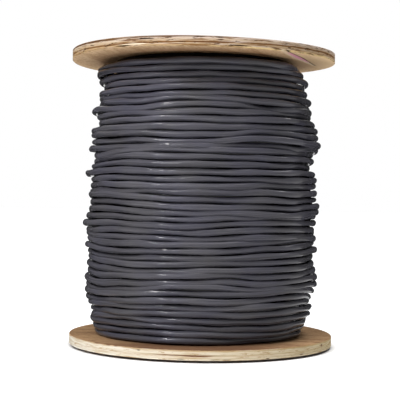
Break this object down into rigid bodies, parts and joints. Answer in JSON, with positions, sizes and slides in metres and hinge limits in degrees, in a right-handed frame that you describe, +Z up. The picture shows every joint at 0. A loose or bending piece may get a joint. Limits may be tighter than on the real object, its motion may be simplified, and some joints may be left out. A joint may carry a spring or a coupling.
{
  "type": "cable reel",
  "caption": "Round plywood reel standing on its bolt heads, wound full with grey jacketed fire alarm cable, with an arbor hole through both flanges.",
  "frame": {"origin": "on the floor under the reel's axis, level with the flats of the lower bolt heads", "axes": "+Z up along the reel's axis; -Y is the side the picture shows"},
  "size_m": [0.305, 0.305, 0.351],
  "materials": {
    "plywood_lower": "raw plywood",
    "plywood_upper": "raw plywood",
    "drum_fibre": "wound fibreboard",
    "cable_jacket": "satin",
    "zinc_steel": "zinc plated"
  },
  "bodies": {
    "root": {"bottom_flange": "plywood_lower", "top_flange": "plywood_upper", "drum": "drum_fibre", "cable_winding": "cable_jacket", "tie_bolt_1": "zinc_steel", "tie_bolt_2": "zinc_steel", "tie_bolt_3": "zinc_steel", "tie_bolt_4": "zinc_steel", "washer_1": "zinc_steel", "washer_2": "zinc_steel", "washer_3": "zinc_steel", "washer_4": "zinc_steel", "nut_1": "zinc_steel", "nut_2": "zinc_steel", "nut_3": "zinc_steel", "nut_4": "zinc_steel"}
  },
  "joints": []
}
